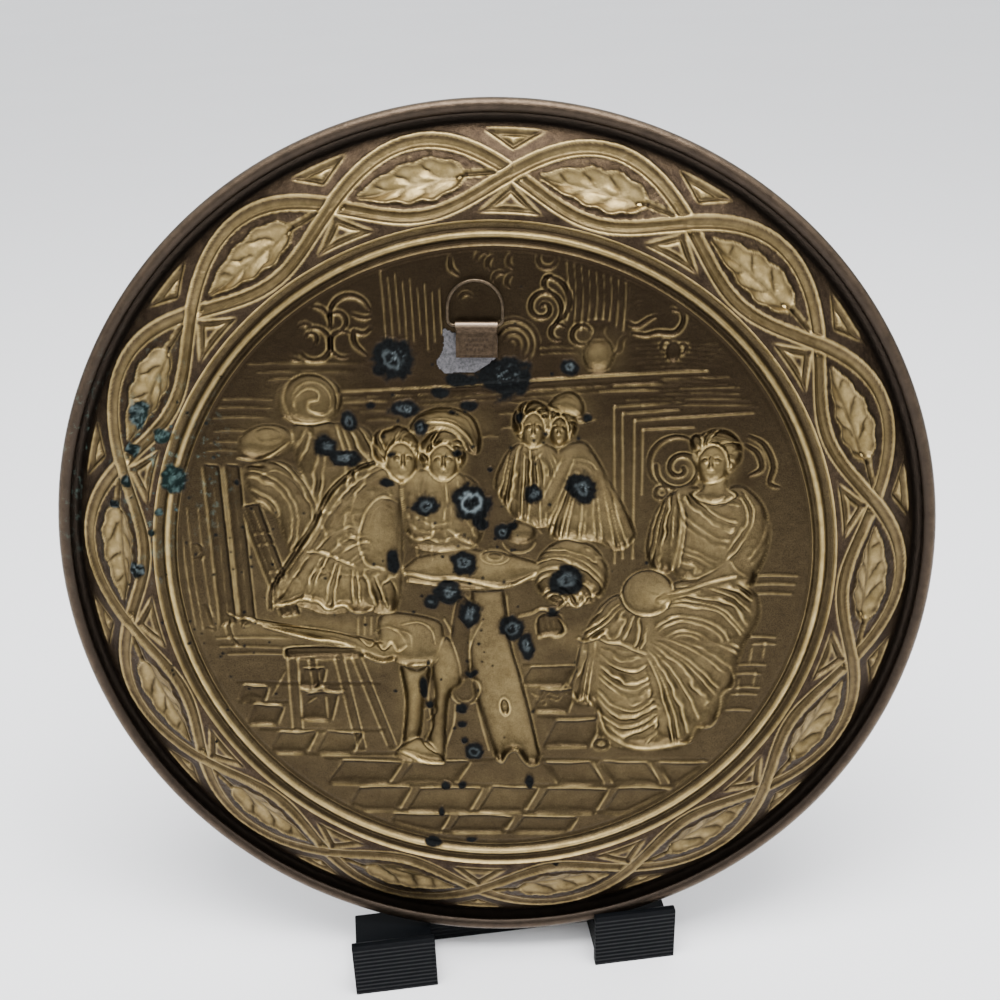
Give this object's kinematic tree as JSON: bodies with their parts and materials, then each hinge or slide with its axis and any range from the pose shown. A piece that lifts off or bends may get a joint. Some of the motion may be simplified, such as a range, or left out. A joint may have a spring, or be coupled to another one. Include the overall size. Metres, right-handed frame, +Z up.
{
  "type": "embossed brass plate",
  "caption": "Round thin brass plate with a rolled rim, a knotwork border and a pressed tavern scene, hollow side forward, on a small lipped stand.",
  "frame": {"origin": "on the surface the stand rests on, under the middle of the object's outline", "axes": "+Z up; the plate's hollow side, with the hanger, faces -Y and up a little, its raised side faces +Y; +X is to the right of someone who looks at the hollow side"},
  "size_m": [0.3516, 0.0992, 0.3592],
  "materials": {
    "plate_brass": "aged brass sheet, olive gold with brown patina and dark corroded spots",
    "ring_wire": "dull brass wire",
    "strap_brass": "brown tarnished strap with rows of shallow strokes",
    "solder": "dull grey lumpy solder",
    "stand_plastic": "black plastic with fine horizontal ridges"
  },
  "bodies": {
    "root": {"plate": "plate_brass", "hanger_ring": "ring_wire", "hanger_strap": "strap_brass", "solder": "solder", "stand": "stand_plastic"}
  },
  "joints": []
}
